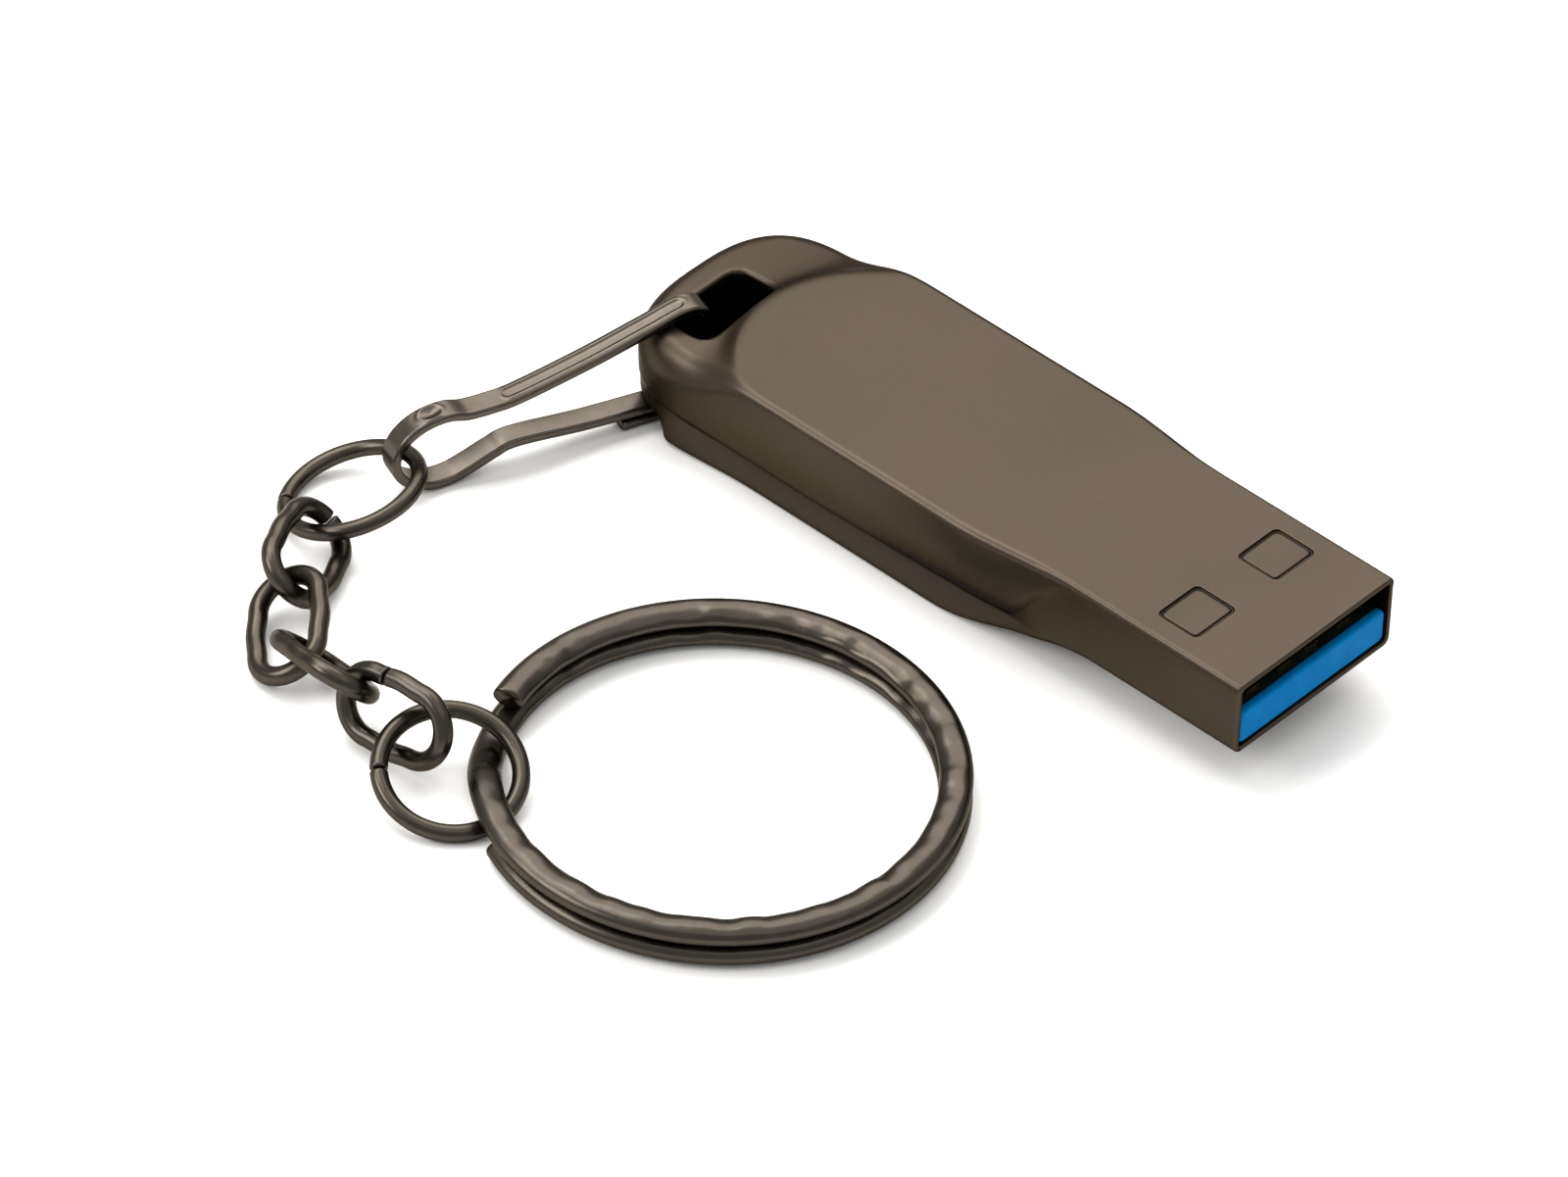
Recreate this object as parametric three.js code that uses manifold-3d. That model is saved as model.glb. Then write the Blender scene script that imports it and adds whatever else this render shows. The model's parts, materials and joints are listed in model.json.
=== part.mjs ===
// A metal USB flash drive with a blue insert, and the key chain that hangs from the slot in its tail.
// Millimetres. +X points out of the plug, +Z up from the flat underside that the drive rests on, and the
// origin is in the middle of that underside.
import * as THREE from "three";
import { ParametricGeometry } from "three/addons/geometries/ParametricGeometry.js";
import { mergeVertices } from "three/addons/utils/BufferGeometryUtils.js";
import Module from "manifold-3d";

const wasm = await Module();
wasm.setup();

// ---- driving dimensions ----

// casing
const HEIGHT = 7;
const TIP_X = 30;
const TAIL_X = -13.3;
const PLUG_HALF_WIDTH = 6;
const PLUG_HEIGHT = 4.5;
const BODY_HALF_WIDTH = 6.65;
const BELLY_HALF_WIDTH = 6.8;
const LOWER_HALF_WIDTH = 6.1;
const EDGE_RADIUS = 0.4;
const FLOOR_RADIUS = 0.55;
const NECK_FRONT_X = 19;
const NECK_BACK_X = 11;
const TAIL_START_X = -7;
const DECK_TAIL_START_X = -1.5;
const DECK_END_X = -7.6;
const TAIL_POWER = 2.8;
const TAIL_DROP = 2.45;
const TAIL_LIFT = 1.35;
const TAIL_LIFT_X = -8.75;
const CREASE_Z = 2.3;
const CREASE_RISE_LENGTH = 4.5;
const CREASE_STEP = 0.3;

// mouth of the plug and the hollow behind it
const MOUTH_HALF_WIDTH = 5.7;
const MOUTH_FLOOR_Z = HEIGHT - PLUG_HEIGHT + 0.35;
const MOUTH_ROOF_Z = HEIGHT - 0.3;
const HOLLOW_BACK_X = 2;

// the two square dimples in the plug's top
const DIMPLE = { length: 2.65, width: 3.1, depth: 0.12, corner: 0.35, setback: 4.1, spacing: 6.12 };

// slot for the key clasp
const SLOT = { centreX: -9.4, centreY: -1.7, length: 5.6, width: 3, corner: 0.9 };

// electronics
const FIT_GAP = 0.03;
const BOARD_TOP_Z = MOUTH_ROOF_Z - 1.95;
const BOARD_THICKNESS = 0.8;
const BOARD = { front: TIP_X - 0.65, back: 5, halfWidth: 5.4 };
const LIP = { front: TIP_X - 0.12, thickness: 0.45, top: 4.97, halfWidth: 5.62, round: 0.3 };
const TRAY_BACK_X = 13;
const CONTACT_THICKNESS = 0.08;

// key chain
const STRIP = { width: 1.45, thickness: 0.55 };
const CLASP = { rootX: -9.9, rootY: -2.6, heading: -110 };
const LINK = { length: 7.6, width: 4.6, wire: 1.05 };
const CLASP_RING = { diameter: 8.15, wire: 0.9 };
const KEY_RING = { diameter: 8.15, wire: 0.95 };
const CUT = 0.14;
const COIL = { x: 11.8, y: -24.4, radius: 11.85, width: 1.75, height: 1.2, gap: 0.06, lift: 0.06 };
const COIL_END_ANGLE = 198;
const COIL_JOG_START = 238;
const COIL_JOG_END = 205;
const COIL_LAST_ANGLE = 246;

// where each ring and link lies: its middle, the heading of its long axis, that axis's rise, and its roll
const LAY = {
  claspRing: { at: [-16.5, -21.9, 1.65], heading: -25, rise: 13, roll: 14, cut: 0.92 },
  links: [
    { at: [-14.5, -27.3, 1.95], heading: -65, rise: 7, roll: -43, cut: 0.66 },
    { at: [-11.5, -31.7, 1.65], heading: -46, rise: -7, roll: 30, cut: 0.25 },
    { at: [-7.2, -33.4, 2.65], heading: -15, rise: 16, roll: -43, cut: 0.35 },
    { at: [-2.1, -33.6, 2.65], heading: 2, rise: 7, roll: 69, cut: 0.46 },
  ],
  keyRing: { at: [1.95, -33.75, 1.6], heading: 17, rise: -13, roll: 13, cut: 0.84 },
};

// ---- finishes ----

function metal(color, roughness) {
  return new THREE.MeshStandardMaterial({ color, roughness, metalness: 1 });
}

function plastic(color, roughness) {
  return new THREE.MeshStandardMaterial({ color, roughness, metalness: 0 });
}

const FINISH = {
  casing: metal(0x766a5c, 0.42),
  chain: metal(0x5d544d, 0.25),
  insert: plastic(0x0a86c4, 0.4),
  board: plastic(0x14402a, 0.5),
  gold: metal(0xd8b25a, 0.3),
  package: plastic(0x1a1a1c, 0.6),
  tin: metal(0xb8b8b4, 0.35),
  ceramic: plastic(0xb08a5c, 0.6),
  foam: plastic(0x3a3a3a, 0.95),
};

// ---- helpers ----

const lerp = THREE.MathUtils.lerp;
const radians = THREE.MathUtils.degToRad;

function smooth(t) {
  return THREE.MathUtils.smoothstep(t, 0, 1);
}

function toSolid(geometry) {
  const bare = geometry.clone();
  bare.deleteAttribute("normal");
  bare.deleteAttribute("uv");
  const merged = mergeVertices(bare);
  const vertProperties = new Float32Array(merged.attributes.position.array);
  const triVerts = new Uint32Array(merged.index.array);
  return new wasm.Manifold(new wasm.Mesh({ numProp: 3, vertProperties, triVerts }));
}

function toGeometry(solid) {
  const mesh = solid.getMesh();
  const geometry = new THREE.BufferGeometry();
  geometry.setAttribute("position", new THREE.BufferAttribute(mesh.vertProperties, 3));
  geometry.setIndex(new THREE.BufferAttribute(mesh.triVerts, 1));
  return geometry.toNonIndexed();
}

function named(name, geometry, material) {
  const mesh = new THREE.Mesh(geometry, material);
  mesh.name = name;
  geometry.computeVertexNormals();
  return mesh;
}

function block(x0, x1, y0, y1, z0, z1) {
  const geometry = new THREE.BoxGeometry(x1 - x0, y1 - y0, z1 - z0);
  return geometry.translate((x0 + x1) / 2, (y0 + y1) / 2, (z0 + z1) / 2);
}

// A rectangle with round corners, standing upright from z0 to z1.
function roundedPrism(centreX, centreY, lengthX, lengthY, corner, z0, z1) {
  const outline = new THREE.Shape();
  const x = lengthX / 2 - corner;
  const y = lengthY / 2 - corner;
  outline.absarc(x, y, corner, 0, Math.PI / 2);
  outline.absarc(-x, y, corner, Math.PI / 2, Math.PI);
  outline.absarc(-x, -y, corner, Math.PI, Math.PI * 1.5);
  outline.absarc(x, -y, corner, Math.PI * 1.5, Math.PI * 2);
  const options = { depth: z1 - z0, bevelEnabled: false, curveSegments: 5 };
  return new THREE.ExtrudeGeometry(outline, options).translate(centreX, centreY, z0);
}

// ---- casing ----

const STEPS = { mouth: 2, plug: 2, neck: 8, side: 6, tail: 12 };
const HALF_STEPS = Object.values(STEPS).reduce((sum, n) => sum + n);

// Outlines seen from above, each at its own height on the casing.
const WALL = {
  tip: TIP_X,
  plug: PLUG_HALF_WIDTH,
  body: BODY_HALF_WIDTH,
  tailStart: TAIL_START_X,
  tailEnd: TAIL_X,
  power: TAIL_POWER,
};
const DECK = {
  tip: TIP_X - 0.1,
  plug: PLUG_HALF_WIDTH - 0.3,
  body: BODY_HALF_WIDTH - EDGE_RADIUS,
  tailStart: DECK_TAIL_START_X,
  tailEnd: DECK_END_X,
  power: 2.1,
};
const BELLY = { ...WALL, body: BELLY_HALF_WIDTH, tailEnd: TAIL_X - 0.05 };
const LOWER = { ...WALL, body: LOWER_HALF_WIDTH, tailEnd: TAIL_X + 0.12 };
const FLOOR = {
  ...WALL,
  tip: TIP_X - 0.1,
  plug: PLUG_HALF_WIDTH - 0.5,
  body: LOWER_HALF_WIDTH - 0.6,
  tailEnd: TAIL_X + 0.7,
};

// Half an outline, walked from the middle of the mouth (step 0) along one side to the tail's end.
function outlinePoint(step, { tip, plug, body, tailStart, tailEnd, power }) {
  if (step <= STEPS.mouth) return [tip, (plug * step) / STEPS.mouth];
  step -= STEPS.mouth;
  if (step <= STEPS.plug) return [lerp(tip, NECK_FRONT_X, step / STEPS.plug), plug];
  step -= STEPS.plug;
  if (step <= STEPS.neck) {
    const t = step / STEPS.neck;
    return [lerp(NECK_FRONT_X, NECK_BACK_X, t), lerp(plug, body, smooth(t))];
  }
  step -= STEPS.neck;
  if (step <= STEPS.side) return [lerp(NECK_BACK_X, tailStart, step / STEPS.side), body];
  const angle = ((step - STEPS.side) / STEPS.tail) * (Math.PI / 2);
  const reach = Math.sin(angle) ** (2 / power);
  const spread = Math.max(0, Math.cos(angle)) ** (2 / power);
  return [lerp(tailStart, tailEnd, reach), body * spread];
}

function floorZ(x) {
  const neck = (HEIGHT - PLUG_HEIGHT) * (1 - smooth((20.5 - x) / 11));
  return neck + TAIL_LIFT * smooth((TAIL_LIFT_X - x) / 0.6);
}

function creaseZ(x) {
  return lerp(HEIGHT - EDGE_RADIUS - 0.1, CREASE_Z, smooth((NECK_FRONT_X - x) / CREASE_RISE_LENGTH));
}

// From the deck's edge down to the wall: a small radius along the sides, and behind the deck's end a low
// step, a gentle ramp and a large radius.
const RAMP = [
  [0.07, 0.19],
  [0.35, 0.3],
  [0.7, 0.38],
  [0.9, 0.6],
  [1, 1],
];

function shoulderPoint(step, level) {
  const [deckX, deckY] = outlinePoint(step, DECK);
  const [wallX, wallY] = outlinePoint(step, WALL);
  const ramp = smooth((-1 - wallX) / 11);
  const angle = ((level + 1) / RAMP.length) * (Math.PI / 2);
  const across = lerp(Math.sin(angle), RAMP[level][0], ramp);
  const down = lerp(1 - Math.cos(angle), RAMP[level][1], ramp) * lerp(EDGE_RADIUS, TAIL_DROP, ramp);
  return [lerp(deckX, wallX, across), lerp(deckY, wallY, across), HEIGHT - down];
}

function ringAt(shape, heightAt) {
  return (step) => {
    const [x, y] = outlinePoint(step, shape);
    return [x, y, heightAt(x, step)];
  };
}

// The skin's rings in order, from the deck's centre line over the edge and round to the floor's.
const RINGS = [
  (step) => [outlinePoint(step, DECK)[0], 0, HEIGHT],
  ringAt(DECK, () => HEIGHT),
  ...RAMP.map((_, level) => (step) => shoulderPoint(step, level)),
  ringAt(BELLY, (x, step) => (shoulderPoint(step, RAMP.length - 1)[2] + creaseZ(x)) / 2),
  ringAt(WALL, creaseZ),
  ringAt(LOWER, (x) => creaseZ(x) - CREASE_STEP),
  ringAt(LOWER, (x) => floorZ(x) + FLOOR_RADIUS),
  (step) => {
    const [lowX, lowY] = outlinePoint(step, LOWER);
    const [floorX, floorY] = outlinePoint(step, FLOOR);
    const x = lerp(lowX, floorX, 0.3);
    return [x, lerp(lowY, floorY, 0.3), floorZ(x) + FLOOR_RADIUS * 0.3];
  },
  ringAt(FLOOR, floorZ),
  (step) => {
    const [x] = outlinePoint(step, FLOOR);
    return [x, 0, floorZ(x)];
  },
];

function casingSkin() {
  const slices = HALF_STEPS * 2;
  const stacks = RINGS.length - 1;
  const surface = (u, v, target) => {
    const step = u * slices;
    const side = step > HALF_STEPS ? 1 : -1;
    const [x, y, z] = RINGS[Math.round(v * stacks)](side < 0 ? step : slices - step);
    target.set(x, side * y, z);
  };
  return toSolid(new ParametricGeometry(surface, slices, stacks));
}

function housing() {
  const side = MOUTH_HALF_WIDTH;
  const hollow = block(HOLLOW_BACK_X, TIP_X + 1, -side, side, MOUTH_FLOOR_Z, MOUTH_ROOF_Z);
  const { centreX, centreY, width, length, corner } = SLOT;
  const slot = roundedPrism(centreX, centreY, width, length, corner, -1, HEIGHT + 1);
  const dimples = [-1, 1].map((sign) => {
    const x = TIP_X - DIMPLE.setback - DIMPLE.length / 2;
    const y = (sign * DIMPLE.spacing) / 2;
    const floor = HEIGHT - DIMPLE.depth;
    return roundedPrism(x, y, DIMPLE.length, DIMPLE.width, DIMPLE.corner, floor, HEIGHT + 1);
  });
  const cuts = [hollow, slot, ...dimples].map(toSolid);
  const solid = cuts.reduce((body, cut) => body.subtract(cut), casingSkin());
  return named("housing", toGeometry(solid), FINISH.casing);
}

// ---- insert and electronics ----

// Blue plastic tray: a flat floor under the board, with a lip across the mouth whose top edge is round.
function carrierTray() {
  const floorZ0 = MOUTH_FLOOR_Z + FIT_GAP;
  const profile = new THREE.Shape();
  const { front, thickness, top, halfWidth, round } = LIP;
  const boardUnderside = BOARD_TOP_Z - BOARD_THICKNESS - FIT_GAP;
  profile.moveTo(front, floorZ0);
  profile.lineTo(front, top - round);
  profile.quadraticCurveTo(front, top, front - round, top);
  profile.lineTo(front - thickness, top);
  profile.lineTo(front - thickness, boardUnderside);
  profile.lineTo(TRAY_BACK_X, boardUnderside);
  profile.lineTo(TRAY_BACK_X, floorZ0);
  const options = { depth: halfWidth * 2, bevelEnabled: false, curveSegments: 4 };
  const tray = new THREE.ExtrudeGeometry(profile, options);
  tray.rotateX(Math.PI / 2).translate(0, halfWidth, 0);
  return named("carrier_tray", tray, FINISH.insert);
}

function onBoard(name, material, x, y, length, width, height) {
  const z = BOARD_TOP_Z + FIT_GAP;
  const shape = block(x - length / 2, x + length / 2, y - width / 2, y + width / 2, z, z + height);
  return named(name, shape, material);
}

function circuitBoard() {
  const { front, back, halfWidth } = BOARD;
  const underside = BOARD_TOP_Z - BOARD_THICKNESS;
  const slab = block(back, front, -halfWidth, halfWidth, underside, BOARD_TOP_Z);
  return named("circuit_board", slab, FINISH.board);
}

// The four flat contacts of USB 2: the outer, power pair is longer than the inner, data pair.
function padContacts() {
  const pads = [
    ["contact_vbus", 3.5, 7.4],
    ["contact_d_minus", 1, 6.4],
    ["contact_d_plus", -1, 6.4],
    ["contact_ground", -3.5, 7.4],
  ];
  const front = BOARD.front - 0.5;
  return pads.map(([name, y, length]) => {
    return onBoard(name, FINISH.gold, front - length / 2, y, length, 1, CONTACT_THICKNESS);
  });
}

// The five SuperSpeed contacts: short springs behind the pads, each bowed up towards the mouth's roof.
function springContacts() {
  const names = ["rx_minus", "rx_plus", "drain", "tx_minus", "tx_plus"];
  const [length, width, bow, thickness] = [2.4, 0.7, 0.55, 0.12];
  const back = BOARD.front - 11.6;
  const base = BOARD_TOP_Z + FIT_GAP;
  const profile = new THREE.Shape();
  profile.moveTo(0, 0);
  profile.quadraticCurveTo(length * 0.6, bow * 2, length, 0.1);
  profile.lineTo(length, 0.1 + thickness);
  profile.quadraticCurveTo(length * 0.6, bow * 2 + thickness * 1.6, -0.2, thickness);
  profile.lineTo(-0.2, 0);
  return names.map((name, i) => {
    const options = { depth: width, bevelEnabled: false, curveSegments: 6 };
    const spring = new THREE.ExtrudeGeometry(profile, options).rotateX(Math.PI / 2);
    spring.translate(back, (i - 2) * 2 + width / 2, base);
    return named("contact_ss_" + name, spring, FINISH.gold);
  });
}

function chips() {
  const flash = onBoard("flash_chip", FINISH.package, 9.6, -1.6, 7.2, 6.4, 1);
  const controller = onBoard("controller_chip", FINISH.package, 15.1, 1.6, 2.9, 4.4, 0.85);
  const crystal = onBoard("crystal", FINISH.tin, 15.1, -3.4, 2, 1.6, 0.6);
  const capacitors = [0, 1, 2, 3].map((i) => {
    return onBoard("capacitor_" + (i + 1), FINISH.ceramic, 7 + i * 1.9, 4, 1, 0.55, 0.5);
  });
  const resistors = [0, 1].map((i) => {
    return onBoard("resistor_" + (i + 1), FINISH.package, 9 + i * 2, 2.8, 1, 0.5, 0.35);
  });
  return [flash, controller, crystal, ...capacitors, ...resistors];
}

// Foam pad that holds the board's back end off the hollow's floor.
function adhesivePad() {
  const top = BOARD_TOP_Z - BOARD_THICKNESS - FIT_GAP;
  const pad = roundedPrism(8.7, 0, 6.4, 8, 0.5, MOUTH_FLOOR_Z + FIT_GAP, top);
  return named("adhesive_pad", pad, FINISH.foam);
}

// ---- key chain ----

// A closed wire form with one cut: two half circles joined by straight sides, or a plain circle when its
// length and width are the same. The path starts and ends at the cut.
class WireLoop extends THREE.Curve {
  constructor(length, width, wire, cut) {
    super();
    this.bend = (width - wire) / 2;
    this.straight = length - width;
    this.around = 2 * Math.PI * this.bend + 2 * this.straight;
    this.cut = cut;
  }

  getPoint(t, target = new THREE.Vector3()) {
    const opening = CUT / this.around;
    const share = (((this.cut + lerp(opening / 2, 1 - opening / 2, t)) % 1) + 1) % 1;
    const arc = Math.PI * this.bend;
    const half = arc + this.straight;
    const travelled = share * this.around;
    const turn = travelled < half ? 1 : -1;
    const along = travelled % half;
    const middle = this.straight / 2;
    if (along < arc) {
      const angle = along / this.bend - Math.PI / 2;
      target.set(middle + this.bend * Math.cos(angle), this.bend * Math.sin(angle), 0);
    } else {
      target.set(middle - (along - arc), this.bend, 0);
    }
    return target.multiplyScalar(turn);
  }
}

function wireForm(name, { length, width, wire }, { at, heading, rise, roll, cut = 0 }, steps) {
  const section = new THREE.Shape();
  section.absarc(0, 0, wire / 2, 0, Math.PI * 2);
  const extrudePath = new WireLoop(length, width, wire, cut);
  const form = new THREE.ExtrudeGeometry(section, { steps, extrudePath, curveSegments: 5 });
  const mesh = named(name, form, FINISH.chain);
  mesh.position.set(...at);
  mesh.rotation.set(radians(roll), radians(-rise), radians(heading), "ZYX");
  return mesh;
}

function jumpRing(name, { diameter, wire }, lay) {
  return wireForm(name, { length: diameter, width: diameter, wire }, lay, 40);
}

// The clasp's bent strip, seen from the side: along from the slot, and up. It runs from the tail under
// the drive up through the slot, over the rim, along to the bulb, round it and back under the drive.
function claspPath() {
  const bulb = [];
  for (let angle = 120; angle >= -120; angle -= 20) {
    bulb.push([15.2 + 2.75 * Math.cos(radians(angle)), 2.5 + 2.16 * Math.sin(radians(angle))]);
  }
  const tail = [
    [4.9, 0.34],
    [3, 0.34],
    [0.7, 0.4],
    [0.1, 0.9],
    [0, 2.5],
    [0, 5.9],
    [0.3, 6.6],
    [1, 6.85],
  ];
  const upperLeg = [
    [3.5, 6.2],
    [6.75, 5.3],
    [11.2, 4.35],
    [12.2, 4.3],
  ];
  const lowerLeg = [
    [12.2, 1.25],
    [11.4, 1.5],
    [6.7, 1.15],
    [1.8, 0.96],
  ];
  const points = [...tail, ...upperLeg, ...bulb, ...lowerLeg];
  return new THREE.CatmullRomCurve3(points.map(([along, up]) => new THREE.Vector3(along, up, 0)));
}

function clasp() {
  const { width, thickness } = STRIP;
  const section = new THREE.Shape();
  section.moveTo(-width / 2, -thickness / 2);
  section.lineTo(width / 2, -thickness / 2);
  section.lineTo(width / 2, thickness / 2);
  section.lineTo(-width / 2, thickness / 2);
  const strip = new THREE.ExtrudeGeometry(section, { steps: 90, extrudePath: claspPath() });
  strip.rotateX(Math.PI / 2);
  const mesh = named("clasp", strip, FINISH.chain);
  mesh.position.set(CLASP.rootX, CLASP.rootY, 0);
  mesh.rotation.z = radians(CLASP.heading);
  return mesh;
}

// The split ring: one flat wire wound twice, the second turn under the first, with the step from the
// upper turn to the lower one between its two ends.
class DoubleCoil extends THREE.Curve {
  getPoint(t, target = new THREE.Vector3()) {
    const jog = COIL_JOG_START - COIL_JOG_END;
    const first = COIL_END_ANGLE - (COIL_JOG_START - 360);
    const turned = t * (COIL_END_ANGLE - (COIL_LAST_ANGLE - 720));
    const angle = radians(COIL_END_ANGLE - turned);
    const lower = COIL.height / 2 + COIL.lift;
    const upper = lower + COIL.height + COIL.gap;
    const z = lerp(upper, lower, smooth((turned - first) / jog));
    return target.set(COIL.radius * Math.cos(angle), COIL.radius * Math.sin(angle), z);
  }
}

function splitRing() {
  const section = new THREE.Shape();
  const [half, tall, corner] = [COIL.width / 2, COIL.height / 2, 0.3];
  section.moveTo(-tall, -half + corner);
  section.lineTo(-tall + corner, -half);
  section.lineTo(tall - corner, -half);
  section.lineTo(tall, -half + corner);
  section.lineTo(tall, half - corner);
  section.lineTo(tall - corner, half);
  section.lineTo(-tall + corner, half);
  section.lineTo(-tall, half - corner);
  const ring = new THREE.ExtrudeGeometry(section, { steps: 120, extrudePath: new DoubleCoil() });
  const mesh = named("split_ring", ring, FINISH.chain);
  mesh.position.set(COIL.x, COIL.y, 0);
  return mesh;
}

function keyChain() {
  const links = LAY.links.map((lay, i) => wireForm("chain_link_" + (i + 1), LINK, lay, 34));
  const claspRing = jumpRing("jump_ring_clasp", CLASP_RING, LAY.claspRing);
  const keyRing = jumpRing("jump_ring_key", KEY_RING, LAY.keyRing);
  return [clasp(), claspRing, ...links, keyRing, splitRing()];
}

// ---- the whole drive ----

const electronics = new THREE.Group();
electronics.add(carrierTray(), circuitBoard(), adhesivePad());
electronics.add(...padContacts(), ...springContacts(), ...chips());

const drive = new THREE.Group();
drive.add(housing(), electronics, ...keyChain());

export default drive;
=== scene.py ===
# The looks of a metal USB flash drive and its key chain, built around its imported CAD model.
import json
import math

import bpy
import numpy as np
from mathutils import Matrix, Vector


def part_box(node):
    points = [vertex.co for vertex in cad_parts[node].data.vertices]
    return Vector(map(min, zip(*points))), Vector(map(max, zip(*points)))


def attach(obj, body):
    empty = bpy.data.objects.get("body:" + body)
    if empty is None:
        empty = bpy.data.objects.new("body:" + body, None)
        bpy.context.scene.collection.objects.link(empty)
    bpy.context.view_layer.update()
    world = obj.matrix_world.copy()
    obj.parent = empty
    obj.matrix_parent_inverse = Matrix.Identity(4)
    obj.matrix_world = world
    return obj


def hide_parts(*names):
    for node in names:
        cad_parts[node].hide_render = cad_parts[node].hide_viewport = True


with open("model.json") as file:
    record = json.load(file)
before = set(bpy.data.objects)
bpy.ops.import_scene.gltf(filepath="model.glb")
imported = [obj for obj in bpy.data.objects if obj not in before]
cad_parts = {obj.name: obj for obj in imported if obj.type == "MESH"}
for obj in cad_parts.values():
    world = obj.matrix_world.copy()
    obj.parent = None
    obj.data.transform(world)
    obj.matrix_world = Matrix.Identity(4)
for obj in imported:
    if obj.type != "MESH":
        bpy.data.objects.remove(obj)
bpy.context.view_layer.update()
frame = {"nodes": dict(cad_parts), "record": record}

MM = 0.001
TURN = 2 * math.pi


# ---- numbers shared with the CAD model, in millimetres ----

def node_box(node):
    low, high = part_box(node)
    return np.array(low) / MM, np.array(high) / MM


housing_low, housing_high = node_box("housing")
TIP_X = housing_high[0]
TOP_Z = housing_high[2]
PLUG_HALF_WIDTH = 6.0
PLUG_HEIGHT = 4.5
BODY_HALF_WIDTH = 6.65
BELLY_BULGE = 0.15
WAIST_HALF_WIDTH = 5.8
BASE_FLARE = 0.5
NECK_FRONT_X = 19.0
NECK_BACK_X = 11.0
TAIL_START_X = -7.0
TAIL_X = housing_low[0]
TAIL_POWER = 2.8
TAIL_LIFT = 1.35
TAIL_LIFT_X = -8.75
MOUTH_HALF_WIDTH = 5.7
MOUTH_FLOOR_Z = TOP_Z - PLUG_HEIGHT + 0.35
MOUTH_ROOF_Z = TOP_Z - 0.3
MOUTH_CORNER = 0.25
HOLLOW_BACK_X = 2.0
DECK_END = {"half_width": 6.55, "start": -1.5, "end": -7.75}
RAMP = {"step": 0.5, "step_run": 0.3, "fall": 0.45, "fade_from": -3.2, "fade_over": 4.7}
SLOT = {"x": -9.4, "y": -1.7, "length": 5.6, "width": 3.0, "corner": 0.9}
DIMPLE = {"length": 2.65, "width": 3.1, "depth": 0.12, "pan": 0.045, "groove": 0.075,
          "corner": 0.35, "setback": 4.1, "spacing": 6.12}
CREASE_Z = 2.3

CASING_EDGES = {"base": 0.08, "tip": 0.14, "mouth": 0.07, "slot": 0.28, "pan": 0.02, "groove": 0.025}
# Where a painted shade darkens the side wall above the crease at the neck, in mm, and by how much at
# most.
NOSE_SHADE = {"top": 2.6, "full": 0.5, "edge": 0.1, "back": (3.5, 12), "front": (17, 14.5), "most": 0.6}

STRIP = {"width": 1.45, "thickness": 0.55, "corner": 0.2}
ROUTE_STEP = 0.1
BULB = {"s": 15.2, "z": 2.5, "long": 2.75, "high": 2.16, "half_arc": 120}
CHANNEL = {"first": 1.5, "last": 11.3, "half_width": 0.4, "depth": 0.045,
           "slope": 0.2, "rim": 0.04, "rim_width": 0.1}
PRESSED = {"depth": 0.15, "radius": 0.34, "stretch": 1.25,
           "rim": 0.06, "rim_radius": 0.5, "rim_width": 0.1}
CLASP = {"x": -9.9, "y": -2.6, "heading": -110}
LINK = {"length": 7.6, "width": 4.6, "wire": 1.05}
CLASP_RING = {"length": 8.15, "width": 8.15, "wire": 0.9}
KEY_RING = {"length": 8.15, "width": 8.15, "wire": 0.95}
CUT = 0.14
LAY = {
    "jump_ring_clasp": ((-16.5, -21.9, 1.65), -25, 13, 14, 0.92),
    "chain_link_1": ((-14.5, -27.3, 1.95), -65, 7, -43, 0.66),
    "chain_link_2": ((-11.5, -31.7, 1.65), -46, -7, 30, 0.25),
    "chain_link_3": ((-7.2, -33.4, 2.65), -15, 16, -43, 0.35),
    "chain_link_4": ((-2.1, -33.6, 2.65), 2, 7, 69, 0.46),
    "jump_ring_key": ((1.95, -33.75, 1.6), 17, -13, 13, 0.84),
}
COIL = {"x": 11.8, "y": -24.4, "radius": 11.85, "width": 1.75, "height": 1.2, "gap": 0.06, "lift": 0.06}
COIL_END_ANGLE = 198
COIL_JOG_START = 238
COIL_JOG_END = 205
COIL_LAST_ANGLE = 246
HAMMERED_IN = 0.075
HAMMERED_DOWN = 0.1275


# ---- small maths ----

def lerp(a, b, t):
    return a + (b - a) * t


def smooth(t):
    t = np.clip(t, 0, 1)
    return t * t * (3 - 2 * t)


def round_max(a, b, radius):
    """The larger of two fields, with a round edge of that radius where they meet."""
    corner = np.hypot(np.maximum(radius + a, 0), np.maximum(radius + b, 0))
    return np.minimum(-radius, np.maximum(a, b)) + corner


def round_min(a, b, radius):
    """The smaller of two fields, with a fillet of that radius in the corner."""
    return -round_max(-a, -b, radius)


def rounded_rectangle(x, y, length_x, length_y, corner):
    over_x = np.abs(x) - (length_x / 2 - corner)
    over_y = np.abs(y) - (length_y / 2 - corner)
    outside = np.hypot(np.maximum(over_x, 0), np.maximum(over_y, 0))
    return outside + np.minimum(np.maximum(over_x, over_y), 0) - corner


def graded(low, high, step, fine, reach, features):
    """Grid lines that stand closer together near the listed features."""
    lines = [low]
    while lines[-1] < high:
        near = min(abs(lines[-1] + fine - f) for f in features)
        grow = min(1.0, max(0.0, (near - reach) / (2 * reach)))
        lines.append(lines[-1] + lerp(fine, step, grow))
    return np.array(lines)


# ---- meshes ----

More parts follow.
